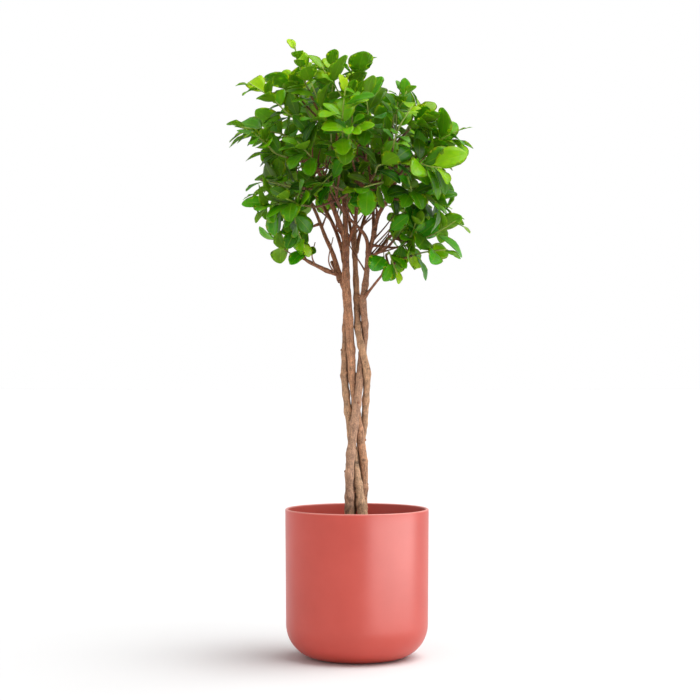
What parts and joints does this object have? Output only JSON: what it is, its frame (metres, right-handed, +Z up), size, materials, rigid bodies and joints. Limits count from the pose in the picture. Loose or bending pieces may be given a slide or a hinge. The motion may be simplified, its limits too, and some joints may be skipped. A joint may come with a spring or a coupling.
{
  "type": "potted plant",
  "caption": "Potted braided ficus: four woven woody stems rise from soil in a smooth round pot and carry a loose, rounded head of blunt oval leaves.",
  "frame": {"origin": "centre of the pot's flat underside", "axes": "+Z up along the pot's axis; -Y faces the viewer of the picture, +X to the viewer's right"},
  "size_m": [0.3755, 0.3724, 0.9349],
  "materials": {
    "coral_glaze": "satin",
    "potting_soil": "matte",
    "bark": "matte",
    "leaf_green": "satin"
  },
  "bodies": {
    "root": {"pot": "coral_glaze", "soil": "potting_soil", "spray_01": "leaf_green", "spray_02": "leaf_green", "spray_03": "leaf_green", "spray_04": "leaf_green", "spray_05": "leaf_green", "spray_06": "leaf_green", "spray_07": "leaf_green", "spray_08": "leaf_green", "spray_09": "leaf_green", "spray_10": "leaf_green", "spray_11": "leaf_green", "spray_12": "leaf_green", "spray_13": "leaf_green", "spray_14": "leaf_green", "spray_15": "leaf_green", "spray_16": "leaf_green", "spray_17": "leaf_green", "spray_18": "leaf_green", "spray_19": "leaf_green", "spray_20": "leaf_green", "spray_21": "leaf_green", "spray_22": "leaf_green", "spray_23": "leaf_green", "spray_24": "leaf_green", "spray_25": "leaf_green", "spray_26": "leaf_green", "spray_27": "leaf_green", "spray_28": "leaf_green", "spray_29": "leaf_green", "spray_30": "leaf_green", "spray_31": "leaf_green", "spray_32": "leaf_green", "spray_33": "leaf_green", "spray_34": "leaf_green", "spray_35": "leaf_green", "spray_36": "leaf_green", "spray_37": "leaf_green", "spray_38": "leaf_green", "spray_39": "leaf_green", "spray_40": "leaf_green", "spray_41": "leaf_green", "spray_42": "leaf_green", "spray_43": "leaf_green", "spray_44": "leaf_green", "spray_45": "leaf_green", "spray_46": "leaf_green", "spray_47": "leaf_green", "spray_48": "leaf_green", "spray_49": "leaf_green", "spray_50": "leaf_green", "spray_51": "leaf_green", "spray_52": "leaf_green", "spray_53": "leaf_green", "spray_54": "leaf_green", "stem_back": "bark", "stem_back_left": "bark", "stem_front_left": "bark", "stem_right": "bark"}
  },
  "joints": []
}
